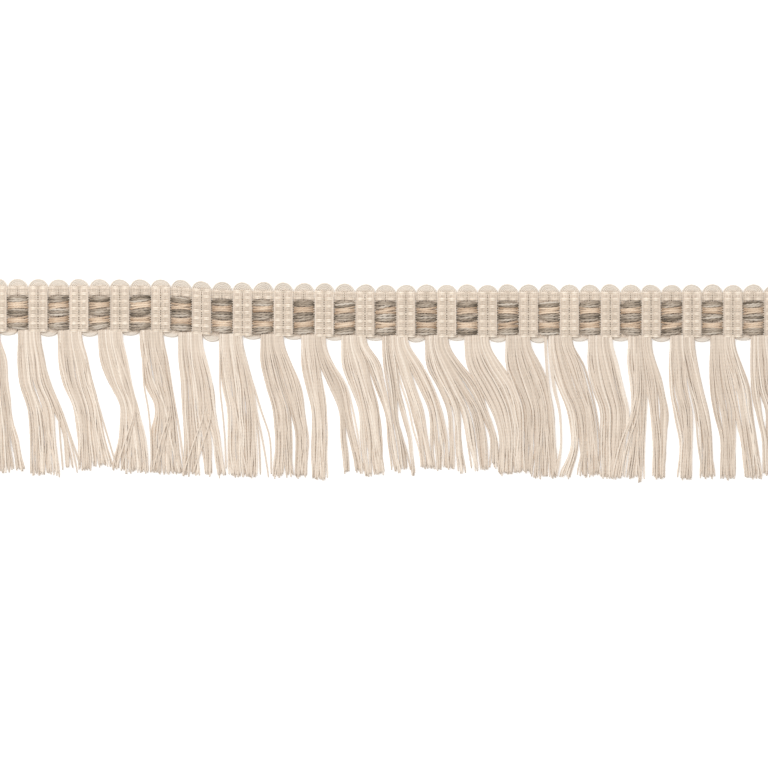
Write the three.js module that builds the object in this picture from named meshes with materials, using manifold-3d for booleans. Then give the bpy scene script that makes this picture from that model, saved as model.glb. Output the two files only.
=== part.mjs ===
// A straight cut length of woven fringe trim, lying face up on a flat surface.
// X runs along the trim, Y points from the fringe towards the heading, and Z is up.
// The heading is one woven strip: five coloured rows broken by pairs of cream columns,
// with scallops of weft along its upper edge and between the tufts along its lower edge.
// Each tuft is one solid: a narrow root strip just below the heading and its loose strands.
// All sizes are in millimetres.

import * as THREE from 'three';
import { mergeVertices } from 'three/addons/utils/BufferGeometryUtils.js';
import Module from 'manifold-3d';

const wasm = await Module();
wasm.setup();

// Pattern along the length
const REPEAT = 12;
const REPEATS = 20;
const HALF_LENGTH = (REPEAT * REPEATS) / 2;
const COLUMN_WIDTH = 2.85;
const BEAD_SHOULDER = 2.2;
const RIB_HALF_LENGTH = 2.3;
const RIB_MIDDLE = 1.1;

// Pattern across the heading, measured down from the top of the first coloured row
const ROW_PITCH = 2.16;
const ROW_COUNT = 5;
const BAND_DEPTH = ROW_PITCH * ROW_COUNT;
const SELVEDGE_CREST = -0.85;
const SCALLOP_FOOT = -1.55;
const SCALLOP_VALLEY = -2.2;
const SCALLOP_RISE = 2.2;
const SCALLOP_UNEVENNESS = 0.06;
const LOWER_EDGE = BAND_DEPTH + 0.2;
const LOWER_SCALLOP_DROP = 1.6;
const LOWER_SCALLOP_UNEVENNESS = 0.12;
const SCALLOP_HALF_WIDTH = 3;

// Heights of the woven face above the surface
const RIB_CREST = 2.2;
const RIB_GROOVE = 1.7;
const BEAD_CREST = 2.1;
const COLUMN_GROOVE = 1.55;
const SELVEDGE_HEIGHT = 1.85;
const SCALLOP_HEIGHT = 1.25;
const SCALLOP_RIM = 0.8;

// Place of the heading, and the gentle step by which its left part lies further from the fringe
const FIRST_ROW_Y = 23.63;
const STEP_RISES = [
  { from: -69, to: -44, rise: 1.15 },
  { from: -44, to: 0, rise: 0.45 },
];

// Fringe
const PIECE_GAP = 0.3;
const ROOT_DEPTH = 1.1;
const ROOT_HEIGHT = 1.45;
const ROOT_INSET = 0.3;
const ROOT_WIDTH = REPEAT / 2 - 2 * ROOT_INSET;
const ROOT_CHAMFER = 0.35;
const WIDEST_ROOT = 6.6;
const BEND_DEPTH = 14.7;
const LOW_DEPTH = 22.6;
const STRAND_HEIGHT = 0.6;
const UPPER_STRAND_BASE = 0.75;
const STRAND_SPACE = 0.14;
const STRAND_OVERLAP = 0.35;
const LOWER_STRANDS = 7;
const LENGTH_UNEVENNESS = 0.9;
const BEND_SHARE = 0.6;

// One row for each lock of strands. Places are measured along X from the middle of the coloured
// block above the tuft's left side. The root's are shares of the widest root, and the others are
// the middle of the lock at 14.7 (bend) and 22.6 (low) below the root and at the tip. Drop is the
// lock's length.
const LOCK_COLUMNS = ['tuft', 'rootFrom', 'rootTo', 'bend', 'low', 'lowWidth', 'tip', 'tipWidth', 'drop'];
const LOCK_ROWS = [
  [1, 0.1, 3.2, 3.0, 4.2, 3.8, 4.5, 2.6, 42.0],
  [1, 3.2, 5.2, 6.3, 7.3, 2.3, 8.0, 3.2, 41.4],
  [1, 5.2, 6.6, 8.5, 9.4, 1.6, 12.3, 4.6, 40.9],
  [2, 0.1, 5.0, 4.0, 6.9, 7.3, 8.2, 8.2, 42.0],
  [2, 5.0, 6.6, 8.7, 11.8, 1.8, 14.7, 1.8, 40.0],
  [3, 0.0, 3.9, 4.0, 6.8, 3.5, 8.1, 2.6, 40.6],
  [3, 3.9, 6.6, 8.1, 10.4, 3.7, 12.9, 5.6, 39.7],
  [4, 0.0, 1.0, 3.6, 6.9, 1.0, 4.8, 1.4, 40.3],
  [4, 1.0, 6.4, 6.9, 9.5, 4.1, 10.4, 8.2, 41.2],
  [5, 0.1, 6.3, 5.5, 7.7, 6.0, 7.9, 8.0, 41.6],
  [6, 0.0, 1.1, 0.7, 1.3, 1.2, 1.3, 1.6, 41.7],
  [6, 1.1, 4.3, 4.3, 4.7, 5.0, 5.8, 6.6, 41.4],
  [6, 4.3, 6.1, 8.3, 9.1, 3.2, 12.1, 2.4, 41.7],
  [7, 0.0, 4.1, 3.2, 4.5, 5.2, 5.4, 4.4, 41.4],
  [7, 4.1, 6.0, 7.8, 9.3, 2.5, 9.2, 2.6, 41.4],
  [8, 0.0, 2.6, 3.5, 6.0, 4.4, 6.3, 5.6, 41.3],
  [8, 2.6, 5.9, 8.5, 10.5, 3.4, 11.8, 3.5, 41.3],
  [9, 0.0, 3.6, 3.1, 4.4, 5.2, 5.2, 3.8, 42.0],
  [9, 3.6, 4.5, 8.7, 10.9, 1.2, 12.8, 2.1, 39.7],
  [9, 4.5, 6.1, 10.8, 13.0, 2.3, 16.4, 2.3, 39.7],
  [10, 0.0, 1.6, 3.2, 5.1, 1.2, 7.1, 1.4, 40.9],
  [10, 1.6, 3.9, 6.6, 8.3, 4.0, 10.4, 4.1, 40.3],
  [10, 3.9, 5.8, 11.3, 12.7, 1.5, 15.4, 2.0, 39.4],
  [11, 0.0, 1.6, 1.7, 2.8, 1.5, 6.0, 2.0, 38.8],
  [11, 1.6, 2.5, 3.1, 5.2, 1.2, 8.1, 1.0, 40.6],
  [11, 2.5, 4.0, 6.8, 8.9, 3.6, 12.2, 3.4, 38.5],
  [11, 4.0, 5.7, 11.6, 14.9, 4.2, 16.1, 3.6, 38.5],
  [12, 0.0, 0.8, 3.7, 6.7, 1.1, 7.4, 1.6, 38.8],
  [12, 0.8, 2.3, 5.8, 8.9, 2.1, 10.2, 2.8, 40.0],
  [12, 2.3, 4.3, 8.9, 13.3, 5.4, 16.2, 4.4, 39.1],
  [12, 4.3, 6.4, 12.3, 17.7, 1.5, 20.0, 2.5, 38.2],
  [13, 0.0, 3.2, 5.8, 9.7, 4.7, 11.4, 3.0, 40.3],
  [13, 3.2, 6.1, 10.3, 13.6, 3.2, 14.4, 2.4, 39.7],
  [14, 0.0, 3.2, 4.1, 6.5, 4.6, 6.6, 4.5, 39.7],
  [14, 3.2, 6.2, 8.8, 11.0, 4.4, 11.2, 4.1, 41.2],
  [15, 0.2, 3.2, 4.6, 8.1, 4.0, 6.1, 5.5, 41.2],
  [15, 3.2, 6.2, 9.1, 12.1, 4.1, 12.5, 4.8, 40.3],
  [16, 0.0, 3.0, 2.6, 5.5, 4.0, 5.3, 3.4, 41.2],
  [16, 3.0, 6.1, 7.3, 9.3, 3.6, 8.2, 1.9, 41.4],
  [17, 0.0, 2.5, 1.9, 1.9, 2.6, 0.2, 3.4, 41.2],
  [17, 2.5, 3.4, 4.2, 4.0, 1.4, 3.3, 1.9, 42.6],
  [17, 3.4, 6.0, 7.4, 8.8, 5.2, 8.4, 4.1, 41.4],
  [18, 0.0, 3.1, 2.1, 3.6, 5.2, 3.9, 5.0, 41.7],
  [18, 3.1, 6.6, 7.3, 9.4, 3.7, 11.4, 4.1, 40.9],
  [19, 0.0, 3.2, 2.2, 3.7, 5.8, 4.5, 4.4, 41.4],
  [19, 3.2, 6.6, 7.8, 9.7, 4.8, 12.0, 4.1, 41.2],
  [20, 0.0, 0.9, 0.5, 2.3, 1.6, 3.9, 1.9, 40.3],
  [20, 0.9, 6.5, 4.9, 7.1, 5.9, 8.4, 5.6, 40.9],
];
const LOCKS = LOCK_ROWS.map((row) => Object.fromEntries(LOCK_COLUMNS.map((name, i) => [name, row[i]])));

const CREAM = new THREE.MeshStandardMaterial({ color: 0xddcbb8, roughness: 0.9, metalness: 0 });
const WOVEN = new THREE.MeshStandardMaterial({ color: 0xb9a78f, roughness: 0.9, metalness: 0 });

function smoothstep(from, to, value) {
  const t = THREE.MathUtils.clamp((value - from) / (to - from), 0, 1);
  return t * t * (3 - 2 * t);
}

// Y of the top of the first coloured row at a place along the trim.
function firstRowY(x) {
  const rise = ({ from, to, rise: height }) => height * (1 - smoothstep(from, to, x));
  return STEP_RISES.reduce((y, step) => y + rise(step), FIRST_ROW_Y);
}

// A small, repeatable unevenness between -1 and 1 for the nth piece of a kind.
function uneven(n) {
  return 0.6 * Math.sin(2.4 * n + 0.7) + 0.4 * Math.sin(5.3 * n + 1.9);
}

// Half round of a scallop, 1 at its middle and 0 at its ends.
function scallop(distance) {
  return Math.sqrt(Math.max(0, 1 - (distance / SCALLOP_HALF_WIDTH) ** 2));
}

// Stations of one repeat, from the middle of one coloured block to the next. Each has the height
// factors of a rib (block) and of the woven columns (column).
function repeatStations() {
  const pair = REPEAT / 2;
  const blockHalf = pair - COLUMN_WIDTH;
  const columnMiddle = COLUMN_WIDTH / 2;
  return [
    { x: 0, block: 1, column: 0 },
    { x: RIB_MIDDLE, block: 1, column: 0 },
    { x: RIB_HALF_LENGTH, block: 0.8, column: 0 },
    { x: blockHalf, block: 0, column: 0.1 },
    { x: pair - BEAD_SHOULDER, block: 0, column: 0.75 },
    { x: pair - columnMiddle, block: 0, column: 1 },
    { x: pair, block: 0, column: 0 },
    { x: pair + columnMiddle, block: 0, column: 1 },
    { x: pair + BEAD_SHOULDER, block: 0, column: 0.75 },
    { x: REPEAT - blockHalf, block: 0, column: 0.1 },
    { x: REPEAT - RIB_HALF_LENGTH, block: 0.8, column: 0 },
    { x: REPEAT - RIB_MIDDLE, block: 1, column: 0 },
  ];
}

// Upper and lower outline of the heading at a place within a repeat, measured down from the first row.
function upperEdge(x, index) {
  const nearest = Math.round(x / (REPEAT / 2)) * (REPEAT / 2);
  const rise = SCALLOP_RISE * (1 + SCALLOP_UNEVENNESS * uneven(2 * index + nearest));
  return SCALLOP_VALLEY - rise * scallop(x - nearest);
}

function lowerEdge(x, index) {
  const middle = (REPEAT * 3) / 4;
  const drop = LOWER_SCALLOP_DROP * (1 + LOWER_SCALLOP_UNEVENNESS * uneven(index));
  return LOWER_EDGE + (x > REPEAT / 2 ? drop * scallop(x - middle) : 0);
}

// Rows of the woven face at one station, each with its distance down and its height.
function faceRows(station, index) {
  const { x, block, column } = station;
  const base = COLUMN_GROOVE + (BEAD_CREST - COLUMN_GROOVE) * column;
  const rows = [
    { down: upperEdge(x, index), z: SCALLOP_RIM },
    { down: (upperEdge(x, index) + SCALLOP_FOOT) / 2, z: SCALLOP_HEIGHT },
    { down: SCALLOP_FOOT, z: SCALLOP_HEIGHT },
    { down: SELVEDGE_CREST, z: SELVEDGE_HEIGHT },
  ];
  for (let half = 0; half <= 2 * ROW_COUNT; half += 1) {
    const crest = half % 2 === 1;
    const rib = crest ? RIB_CREST : RIB_GROOVE;
    rows.push({ down: (half * ROW_PITCH) / 2, z: THREE.MathUtils.lerp(base, rib, block) });
  }
  rows.push({ down: lowerEdge(x, index), z: SCALLOP_HEIGHT });
  return rows;
}

// Every station of the heading, from end to end, as columns of points on its woven face.
function headingColumns() {
  const columns = [];
  const stations = repeatStations();
  for (let repeat = 0; repeat <= REPEATS; repeat += 1) {
    const present = repeat < REPEATS ? stations : stations.slice(0, 1);
    present.forEach((station) => {
      const x = repeat * REPEAT - HALF_LENGTH + station.x;
      const rows = faceRows(station, repeat);
      columns.push(rows.map((row) => new THREE.Vector3(x, firstRowY(x) - row.down, row.z)));
    });
  }
  return columns;
}

// Collects points and triangles of one closed solid.
class SolidBuilder {
  constructor() {
    this.points = [];
    this.triangles = [];
  }

  point(p) {
    this.points.push(p.x, p.y, p.z);
    return this.points.length / 3 - 1;
  }

  triangle(a, b, c) {
    this.triangles.push(a, b, c);
  }

  quad(a, b, c, d) {
    this.triangle(a, b, c);
    this.triangle(a, c, d);
  }

  geometry() {
    const geometry = new THREE.BufferGeometry();
    geometry.setAttribute('position', new THREE.Float32BufferAttribute(this.points, 3));
    geometry.setIndex(this.triangles);
    geometry.computeVertexNormals();
    return geometry;
  }
}

// Closes one cut end of the heading with the outline of its section.
function closeEnd(solid, outline, facesRight) {
  const flat = outline.map(({ point }) => new THREE.Vector2(point.y, point.z));
  THREE.ShapeUtils.triangulateShape(flat, []).forEach((face) => {
    const [a, b, c] = face.map((i) => outline[i]);
    const area = (b.point.y - a.point.y) * (c.point.z - a.point.z)
      - (c.point.y - a.point.y) * (b.point.z - a.point.z);
    if ((area > 0) === facesRight) solid.triangle(a.index, b.index, c.index);
    else solid.triangle(a.index, c.index, b.index);
  });
}

// The heading: its woven face, upright edges and flat back.
function headingGeometry() {
  const solid = new SolidBuilder();
  const columns = headingColumns();
  const face = columns.map((column) => column.map((p) => solid.point(p)));
  const onFloor = (p) => new THREE.Vector3(p.x, p.y, 0);
  const last = columns[0].length - 1;
  const upper = columns.map((column) => solid.point(onFloor(column[0])));
  const lower = columns.map((column) => solid.point(onFloor(column[last])));
  for (let i = 0; i + 1 < columns.length; i += 1) {
    for (let j = 0; j < last; j += 1) {
      solid.quad(face[i][j], face[i][j + 1], face[i + 1][j + 1], face[i + 1][j]);
    }
    solid.quad(upper[i], face[i][0], face[i + 1][0], upper[i + 1]);
    solid.quad(face[i][last], lower[i], lower[i + 1], face[i + 1][last]);
    solid.quad(lower[i], upper[i], upper[i + 1], lower[i + 1]);
  }
  [0, columns.length - 1].forEach((i) => {
    const outline = columns[i].map((point, j) => ({ point, index: face[i][j] }));
    outline.push({ point: onFloor(columns[i][last]), index: lower[i] });
    outline.push({ point: onFloor(columns[i][0]), index: upper[i] });
    closeEnd(solid, outline, i > 0);
  });
  return solid.geometry();
}

// Y of the heading's lower edge above a tuft, at the tuft's right side, where the edge is lowest.
function tuftTopY(tuftX) {
  return firstRowY(tuftX + REPEAT / 2) - LOWER_EDGE;
}

// Smooth curve through depth and value pairs that never overshoots them.
function smoothCurve(depths, values) {
  const slopes = depths.slice(1).map((d, i) => (values[i + 1] - values[i]) / (d - depths[i]));
  const tangents = values.map((_, i) => {
    if (i === 0) {
      const [first, second] = [depths[1] - depths[0], depths[2] - depths[1]];
      return ((2 * first + second) * slopes[0] - first * slopes[1]) / (first + second);
    }
    if (i === values.length - 1) return slopes[i - 1];
    const [before, after] = [slopes[i - 1], slopes[i]];
    return before * after <= 0 ? 0 : (2 * before * after) / (before + after);
  });
  return (depth) => {
    let i = 0;
    while (i < depths.length - 2 && depth > depths[i + 1]) i += 1;
    const step = depths[i + 1] - depths[i];
    const t = (depth - depths[i]) / step;
    const blend = t * t * (3 - 2 * t);
    const bulge = t * (1 - t) * step;
    const line = values[i] + blend * (values[i + 1] - values[i]);
    return line + bulge * ((1 - t) * tangents[i] - t * tangents[i + 1]);
  };
}

// Middle and width of a lock at any depth below the heading.
function lockCourse(lock) {
  const depths = [0, BEND_DEPTH, LOW_DEPTH, lock.drop];
  const rootScale = ROOT_WIDTH / WIDEST_ROOT;
  const rootWidth = (lock.rootTo - lock.rootFrom) * rootScale;
  const rootMiddle = ROOT_INSET + ((lock.rootFrom + lock.rootTo) / 2) * rootScale;
  const bendWidth = THREE.MathUtils.lerp(lock.rootTo - lock.rootFrom, lock.lowWidth, BEND_SHARE);
  const middle = smoothCurve(depths, [rootMiddle, lock.bend, lock.low, lock.tip]);
  const width = smoothCurve(depths, [rootWidth, bendWidth, lock.lowWidth, lock.tipWidth]);
  return { middle, width };
}

// One three-sided strand, from inside the root strip to its cut tip. Its place and share are its
// middle and width as parts of the lock's width, and its number sets its uneven length.
function strandGeometry(tuftX, lock, place, share, base, number) {
  const { middle, width } = lockCourse(lock);
  const length = lock.drop - (LENGTH_UNEVENNESS * (1 - uneven(number))) / 2;
  const start = PIECE_GAP + ROOT_DEPTH - STRAND_OVERLAP;
  const depths = [start, BEND_DEPTH / 2, BEND_DEPTH, LOW_DEPTH, length];
  const solid = new SolidBuilder();
  const rings = depths.map((depth) => {
    const x = tuftX + middle(depth) + place * width(depth);
    const y = tuftTopY(tuftX) - depth;
    const half = (share * width(depth) - STRAND_SPACE) / 2;
    return [
      solid.point(new THREE.Vector3(x - half, y, base)),
      solid.point(new THREE.Vector3(x + half, y, base)),
      solid.point(new THREE.Vector3(x, y, base + STRAND_HEIGHT)),
    ];
  });
  for (let i = 0; i + 1 < rings.length; i += 1) {
    for (let side = 0; side < 3; side += 1) {
      const next = (side + 1) % 3;
      solid.quad(rings[i][side], rings[i][next], rings[i + 1][next], rings[i + 1][side]);
    }
  }
  const [first, tip] = [rings[0], rings[rings.length - 1]];
  solid.triangle(first[0], first[2], first[1]);
  solid.triangle(tip[0], tip[1], tip[2]);
  return solid.geometry();
}

// The narrow strip of weft that the strands of a tuft are fused into.
function rootGeometry(tuftX) {
  const back = tuftTopY(tuftX) - PIECE_GAP;
  const front = back - ROOT_DEPTH;
  const outline = new THREE.Shape([
    new THREE.Vector2(back, 0),
    new THREE.Vector2(back, ROOT_HEIGHT),
    new THREE.Vector2(front + ROOT_CHAMFER, ROOT_HEIGHT),
    new THREE.Vector2(front, ROOT_HEIGHT - ROOT_CHAMFER),
    new THREE.Vector2(front, 0),
  ]);
  const geometry = new THREE.ExtrudeGeometry(outline, { depth: ROOT_WIDTH, bevelEnabled: false });
  geometry.setIndex([...Array(geometry.getAttribute('position').count).keys()]);
  const alongX = new THREE.Matrix4().set(0, 0, 1, tuftX + ROOT_INSET, 1, 0, 0, 0, 0, 1, 0, 0, 0, 0, 0, 1);
  return geometry.applyMatrix4(alongX);
}

// A closed geometry as a solid that can be joined.
function asSolid(geometry) {
  const bare = new THREE.BufferGeometry();
  bare.setAttribute('position', geometry.getAttribute('position'));
  bare.setIndex(geometry.getIndex());
  const merged = mergeVertices(bare);
  return new wasm.Manifold(new wasm.Mesh({
    numProp: 3,
    vertProperties: new Float32Array(merged.getAttribute('position').array),
    triVerts: new Uint32Array(merged.getIndex().array),
  }));
}

function asGeometry(solid) {
  const mesh = solid.getMesh();
  const geometry = new THREE.BufferGeometry();
  geometry.setAttribute('position', new THREE.BufferAttribute(mesh.vertProperties, 3));
  geometry.setIndex(new THREE.BufferAttribute(mesh.triVerts, 1));
  geometry.computeVertexNormals();
  return geometry;
}

// How many strands of the tuft's lower layer each of its locks takes.
function strandCounts(locks) {
  const weights = locks.map((lock) => lock.rootTo - lock.rootFrom + lock.lowWidth);
  const total = weights.reduce((sum, weight) => sum + weight, 0);
  return weights.map((weight) => Math.max(1, Math.round((LOWER_STRANDS * weight) / total)));
}

// One tuft: its locks' strands lie in two layers, the upper ones over the spaces of the lower.
function tuftGeometry(tuft) {
  const tuftX = (tuft - 1) * REPEAT - HALF_LENGTH;
  const locks = LOCKS.filter((lock) => lock.tuft === tuft);
  const counts = strandCounts(locks);
  let solid = asSolid(rootGeometry(tuftX));
  let strand = tuft * LOWER_STRANDS;
  locks.forEach((lock, n) => {
    const count = counts[n];
    const layers = [
      { strands: count, base: 0 },
      { strands: count - 1, base: UPPER_STRAND_BASE },
    ];
    layers.forEach(({ strands, base }) => {
      for (let i = 0; i < strands; i += 1) {
        const place = (i - (strands - 1) / 2) / count;
        strand += 1;
        solid = solid.add(asSolid(strandGeometry(tuftX, lock, place, 1 / count, base, strand)));
      }
    });
  });
  return asGeometry(solid);
}

const trim = new THREE.Group();

const heading = new THREE.Mesh(headingGeometry(), WOVEN);
heading.name = 'heading';
trim.add(heading);

for (let tuft = 1; tuft <= REPEATS; tuft += 1) {
  const mesh = new THREE.Mesh(tuftGeometry(tuft), CREAM);
  mesh.name = `tuft_${String(tuft).padStart(2, '0')}`;
  trim.add(mesh);
}

export default trim;
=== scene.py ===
# A straight cut length of woven fringe trim, lying face up, modelled yarn by yarn.
# X runs along the trim, Y points from the fringe to the heading and Z is up.
# Shapes are worked out in millimetres and written to the meshes in metres.

import math

import bpy
import numpy as np
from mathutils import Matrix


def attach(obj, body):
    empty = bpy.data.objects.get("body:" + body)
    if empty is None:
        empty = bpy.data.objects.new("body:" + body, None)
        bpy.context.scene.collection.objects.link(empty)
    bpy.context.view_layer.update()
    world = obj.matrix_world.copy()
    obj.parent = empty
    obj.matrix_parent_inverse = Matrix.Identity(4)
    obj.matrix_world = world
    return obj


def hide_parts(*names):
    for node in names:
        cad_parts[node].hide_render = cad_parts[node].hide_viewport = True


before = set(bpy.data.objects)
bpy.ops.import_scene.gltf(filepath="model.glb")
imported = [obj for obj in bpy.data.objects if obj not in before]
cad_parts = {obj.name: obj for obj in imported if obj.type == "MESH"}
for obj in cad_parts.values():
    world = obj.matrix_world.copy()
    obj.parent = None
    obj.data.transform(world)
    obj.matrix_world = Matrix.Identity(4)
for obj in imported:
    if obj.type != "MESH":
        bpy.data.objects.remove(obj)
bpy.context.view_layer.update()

MM = 0.001

# Pattern along the trim
REPEAT = 12.0
REPEATS = 20
HALF_LENGTH = REPEAT * REPEATS / 2
PAIR = REPEAT / 2
BLOCK_HALF = 3.15

# Pattern across the heading, measured down from the top of the first coloured row
ROW_PITCH = 2.16
ROW_COLOURS = ("grey", "tan", "grey", "tan", "grey")
BAND_DEPTH = ROW_PITCH * len(ROW_COLOURS)
LOWER_EDGE = BAND_DEPTH + 0.2
BINDER_SHIFT = -0.15
BINDER_PITCH = 2.14
SELVEDGE_BINDER = -1.9

# Place of the heading, and the step by which its left part lies further from the fringe
FIRST_ROW_Y = 23.63
STEP_RISES = ((-69.0, -44.0, 1.15), (-44.0, 0.0, 0.45))

# Weft bundles: two pass up and down in the cream columns, two lie under the coloured floats.
# Each START, STOP or DIVE is a pair of depths between which a change takes place.
WEFT_LANES = 6
WEFT_WIDE = 0.5
WEFT_HIGH = 0.48
WEFT_STEP = 0.62
WEFT_END = LOWER_EDGE - 0.15
WEFT_TINTS = (0.1, 0.6)
COLUMN_OFFSET = 1.48
COLUMN_PITCH = 0.43
COLUMN_START = (-3.0, -1.2)
COLUMN_STOP = (BAND_DEPTH - 0.6, BAND_DEPTH + 0.8)
COLUMN_RISE = 0.9
COLUMN_PRESS = 0.2
COLUMN_LAYER_DROP = 0.47
FLOAT_OFFSET = 1.55
FLOAT_PITCH = 0.47
FLOAT_START = (-3.2, -1.4)
FLOAT_DIVE = (-0.6, 1.0)
FLOAT_RISE = 0.65
LAYER_DROP = 0.42

# Round loops of the weft past the heading's upper and lower edges. Each EASE, and each pair of
# depths that sets where the loops turn paler, is a pair of depths between which a change takes
# place. The paler colour is painted light, standing for light that shows through the thin loops.
UPPER_LOOP_BASE = -1.9
UPPER_LOOP_STRETCH = 0.91
LOWER_LOOP_BASE = 10.3
LOWER_LOOP_STRETCH = 0.55
INNER_LOOP = 0.33
PAIR_LOOP_PITCH = 0.475
BLOCK_LOOP_PITCH = 0.485
LOOP_EASE = (-1.6, -0.2)
LOOP_STEPS = 9
LOOP_HEIGHT = 0.75
LOOP_SINK = 0.08
LOOP_CHANGE = 0.06
LOOP_LEAN = 0.14
# Depths over which the upper and lower loops turn paler, and how far: painted light, standing for
# light that shows through the thin loops
UPPER_BACKLIGHT = (-3.1, -1.9)
LOWER_BACKLIGHT = (LOWER_EDGE - 0.2, LOWER_EDGE + 0.6)
EDGE_BACKLIGHT = 0.6

# Angles between which a loop turns, from its left foot to its right
WHOLE_LOOP = (math.pi, 0.0)
LEFT_HALF = (math.pi, math.pi / 2)
RIGHT_HALF = (math.pi / 2, 0.0)

# Repeats whose upper loops stand higher, and how much deeper a repeat's lower loop hangs, as shares
HIGH_LOBE_REPEATS = (5, 6, 7, 8)
HIGH_LOBES = 0.1
DEEP_LOOPS = {
    0: -0.04,
    1: 0.2,
    2: 0.2,
    4: 0.22,
    5: 0.6,
    7: -0.04,
    9: -0.04,
    10: 0.26,
    11: -0.04,
    12: 0.26,
    13: 0.4,
    14: 0.08,
    15: 0.05,
    16: 0.18,
    17: 0.2,
    18: -0.1,
}

# Coloured warps. Each row has the depth of its middle and how far its yarns spread, as a share.
# Gather is the share of their offsets at which a kind's yarns lie, at a block's ends and in its
# middle. Towards the ends they are thinner, and darker by painted shade where they dive under the
# cream columns; towards the crest of a float's arch they are lighter by a painted highlight.
WARP_STEPS = 481
WARP_SIDES = 8
WARP_ROWS = ((1.33, 0.8), (3.12, 1.0), (5.2, 1.08), (7.5, 0.94), (9.22, 1.0))
UNDER_HEIGHT = 0.42
UNDER_THINNESS = 0.8
FLOAT_END_HEIGHT = 1.2
FLOAT_TILT = 0.05
TILT_CHANGE = 0.02
TILT_REACH = 3.0
SWELLS = (0.88, 1.1)
RAGGED_ENDS = 0.16
FLOAT_INSIDE = 0.55
FLOAT_OUTSIDE = 0.35
OUTER_YARN_DROP = 0.15
# How the painted highlight grows towards the crest of a float's arch
CREST_HIGHLIGHT_POWER = 0.7
GREY_WARP = {
    "offsets": (-0.68, 0.0, 0.68),
    "gather_ends": 0.66,
    "gather_middle": 0.96,
    "cross": 0.24,
    "wide": 0.7,
    "thin_ends": 0.76,
    "high": 0.7,
    "arch": 0.56,
    "pitch": 3.2,
    "lobes": 0.3,
    "shaded_ends": 0.02,
    "crest_highlight": 0.6,
    "shades": 0.17,
}
TAN_WARP = {
    "offsets": (-0.74, 0.0, 0.74),
    "gather_ends": 1.05,
    "gather_middle": 0.78,
    "cross": 0.16,
    "wide": 0.68,
    "thin_ends": 0.9,
    "high": 0.6,
    "arch": 0.34,
    "pitch": 2.6,
    "lobes": 0.12,
    "shaded_ends": 0.1,
    "crest_highlight": 0.64,
    "shades": 0.12,
}

# Cream binder pairs, which rise to a bead over each column and bridge the gap between two columns.
# Surfacing is how far from a block's middle they come up from under it.
BEAD_TOP = 1.98
LAST_BEAD_TOP = 1.62
BEAD_DIP = 1.22
BEAD_LENGTH = 0.92
BEAD_SIZES = (0.68, 1.08)
BRIDGE_LENGTH = 0.5
BRIDGE_RISE = 0.3
BRIDGE_SHOWN = 0.5
SURFACING = (BLOCK_HALF - 0.7, BLOCK_HALF + 0.1)
BINDER_SIDES = 6
BINDER_SPREAD = 0.25
BINDER_GATHER = 0.6
BINDER_WIDE = 0.5
BINDER_THINNESS = 0.65
BINDER_HIGH = 0.42
# Binder tint in the dips, the painted highlight added where they show over beads and bridges, and a
# random change
BINDER_TINT = 0.05
BEAD_HIGHLIGHT = 0.75
BINDER_TINT_CHANGE = 0.1
BLOCK_EDGE_SHIFT = -0.08
SELVEDGE_BINDERS = 2
SELVEDGE_TOP = 1.5
SELVEDGE_DIP = 0.1
FLOAT_BEAD_DROP = 0.15
FLOAT_BEAD_SHARE = 0.8
SMOOTHING = (0.25, 0.5, 0.25)

# Fine cream ground pairs between the binders
GROUND_TOP = 1.76
SELVEDGE_GROUND = 1.5
GROUND_SPREAD = 0.3
GROUND_WIDE = 0.34
GROUND_SIDES = 5
GROUND_TINTS = (0.0, 0.3)

# Fringe. A lock's share of its tuft's yarns goes by its width at the root and, LOW_WEIGHT times
# as much, at the depth numbered LOW. Curves are averaged over the shifts in ROUNDING.
EDGE_DEPTHS = (1.5, 7.0, 14.7, 22.6, 31.0)
STRAY_DEPTHS = (1.5, 14.7, 22.6, 31.0)
LOW = 3
LOW_WEIGHT = 2
ROUNDING = (-2.0, -1.0, 0.0, 1.0, 2.0)
YARNS_PER_TUFT = 48
YARN = 0.58
YARN_HIGH = YARN * 0.9
YARN_SIDES = 5
YARN_STEPS = 48
YARN_LOBES = 0.08
TWIST_PITCH = 3.2
TAPER = 0.3
TAPER_START = 0.965
EDGE_INSET = 0.46 * YARN
ROOT_HIDDEN = 0.7
ROOT_LIFT = 0.5
ROOT_SETTLE = 4.0
LAYER_RISE = 0.36
LEVEL_SPREAD = 0.6
STRAY_HEIGHT = 1.0
CROSSING_SHARE = 0.42
CROSSING_POWER = 1.2
PLACE_CHANGE = 0.06
SWAYS = (0.08, 0.24)
SWAY_PERIODS = (11.0, 30.0)
TIP_FRAY = 0.28
FRAYED_PART = (0.72, 1.05)
TIP_JITTER = 0.38
TIP_SHORTENING = 0.4
YARN_TINTS = (0.16, 0.58)
# A share of the fringe yarns is lighter by a painted highlight, standing for yarns on top that
# catch the light
HIGHLIT_YARN_SHARE = 0.2
YARN_HIGHLIGHT = 0.5
TIP_LIGHTENING = 0.05
STRAY_TINTS = (0.2, 0.7)

# Random draws
HEADING_SEED = 11
FRINGE_SEED = 100

# Yarn material. The noises add NOISE_MEAN to a yarn's tint on average, which is taken off first.
NOISE_MEAN = 0.3
BLOTCH_SHARE = 0.25
STREAK_MEAN = NOISE_MEAN - BLOTCH_SHARE / 2
YARN_ROUGHNESS = 0.88
YARN_SHEEN = 0.25
SHEEN_ROUGHNESS = 0.55
YARN_SPECULAR = 0.15
STREAK_STRETCH = (1.1, 0.14, 1.0)
STREAK_SCALE = 1.6
STREAK_DETAIL = 3.0
BLOTCH_SCALE = 260.0
BLOTCH_DETAIL = 2.0
DARK_STOP = 0.1
MIDDLE_STOP = 0.5
LIGHT_STOP = 0.9
TWIST_STRETCH = (4.0, 2.0, 1.0)
TWIST_SCALE = 0.5
TWIST_DISTORTION = 1.2
TWIST_DETAIL = 2.0
TWIST_RELIEF = 0.08
FIBRE_STRENGTH = 0.5
FIBRE_RELIEF = 0.04

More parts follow.
